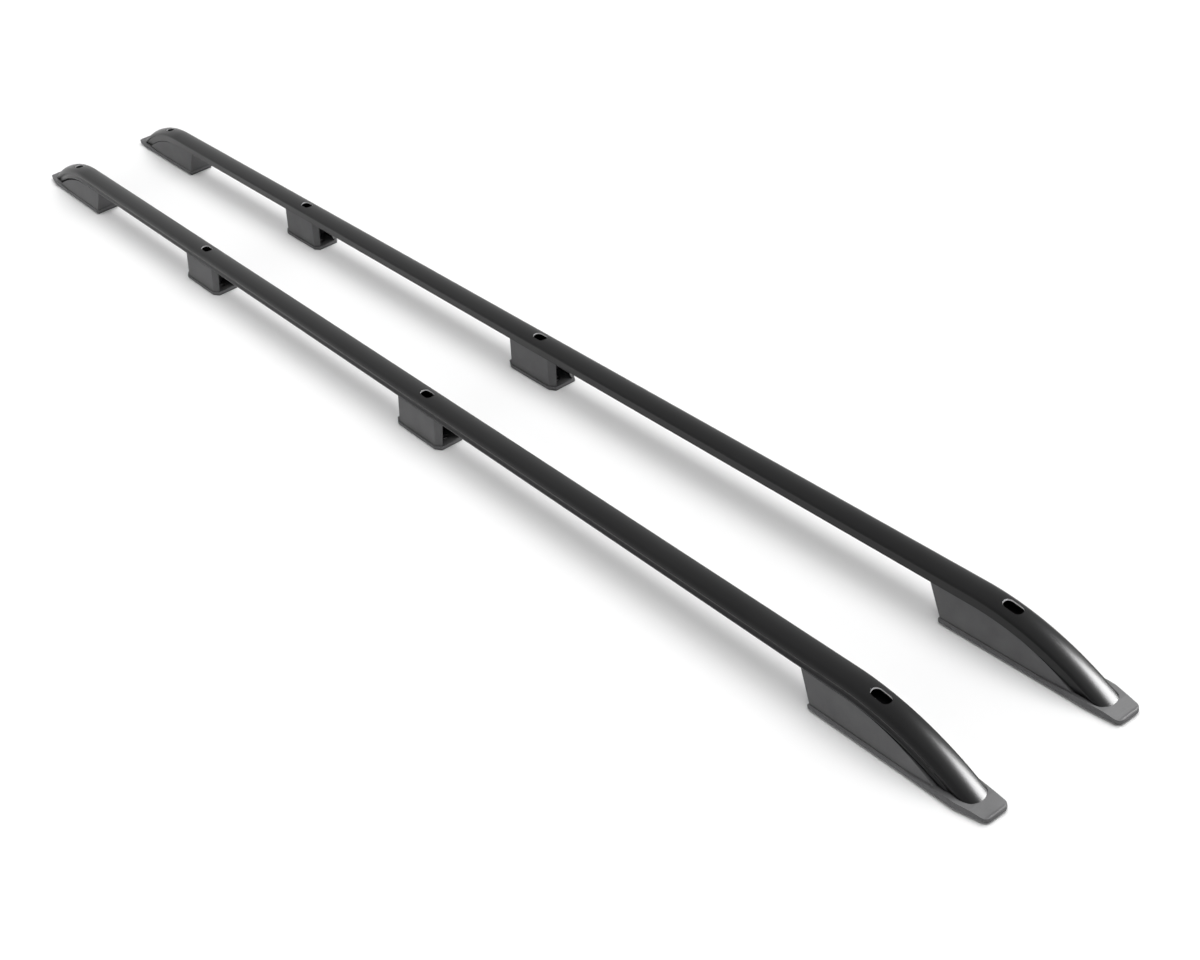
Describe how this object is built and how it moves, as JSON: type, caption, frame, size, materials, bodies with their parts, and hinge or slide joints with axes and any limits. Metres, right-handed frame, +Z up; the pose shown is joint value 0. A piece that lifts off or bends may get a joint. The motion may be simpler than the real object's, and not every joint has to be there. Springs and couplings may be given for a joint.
{
  "type": "roof side rail pair",
  "caption": "Pair of raised roof side rails: bent satin black tubes with access slots, moulded end feet with rounded toes, moulded mid feet, rubber pads.",
  "frame": {"origin": "on the roof plane, midway between the two rails and midway along them", "axes": "+X along the rails towards the front, +Y to the left rail, +Z up from the roof"},
  "size_m": [2.5, 0.243, 0.068],
  "materials": {
    "coated_tube": "satin black powder coat over the extruded aluminium",
    "moulded_foot": "dark grey moulding with a fine grain",
    "rubber_pad": "black rubber",
    "steel": "zinc plated steel"
  },
  "bodies": {
    "root": {"right_rail_tube": "coated_tube", "right_front_foot": "moulded_foot", "right_rear_foot": "moulded_foot", "right_front_mid_foot": "moulded_foot", "right_rear_mid_foot": "moulded_foot", "right_front_pad": "rubber_pad", "right_rear_pad": "rubber_pad", "right_front_mid_pad": "rubber_pad", "right_rear_mid_pad": "rubber_pad", "right_front_sleeve": "steel", "right_rear_sleeve": "steel", "right_front_mid_sleeve": "steel", "right_rear_mid_sleeve": "steel", "right_front_screws": "steel", "right_rear_screws": "steel", "right_front_mid_screws": "steel", "right_rear_mid_screws": "steel", "left_rail_tube": "coated_tube", "left_front_foot": "moulded_foot", "left_rear_foot": "moulded_foot", "left_front_mid_foot": "moulded_foot", "left_rear_mid_foot": "moulded_foot", "left_front_pad": "rubber_pad", "left_rear_pad": "rubber_pad", "left_front_mid_pad": "rubber_pad", "left_rear_mid_pad": "rubber_pad", "left_front_sleeve": "steel", "left_rear_sleeve": "steel", "left_front_mid_sleeve": "steel", "left_rear_mid_sleeve": "steel", "left_front_screws": "steel", "left_rear_screws": "steel", "left_front_mid_screws": "steel", "left_rear_mid_screws": "steel"}
  },
  "joints": []
}
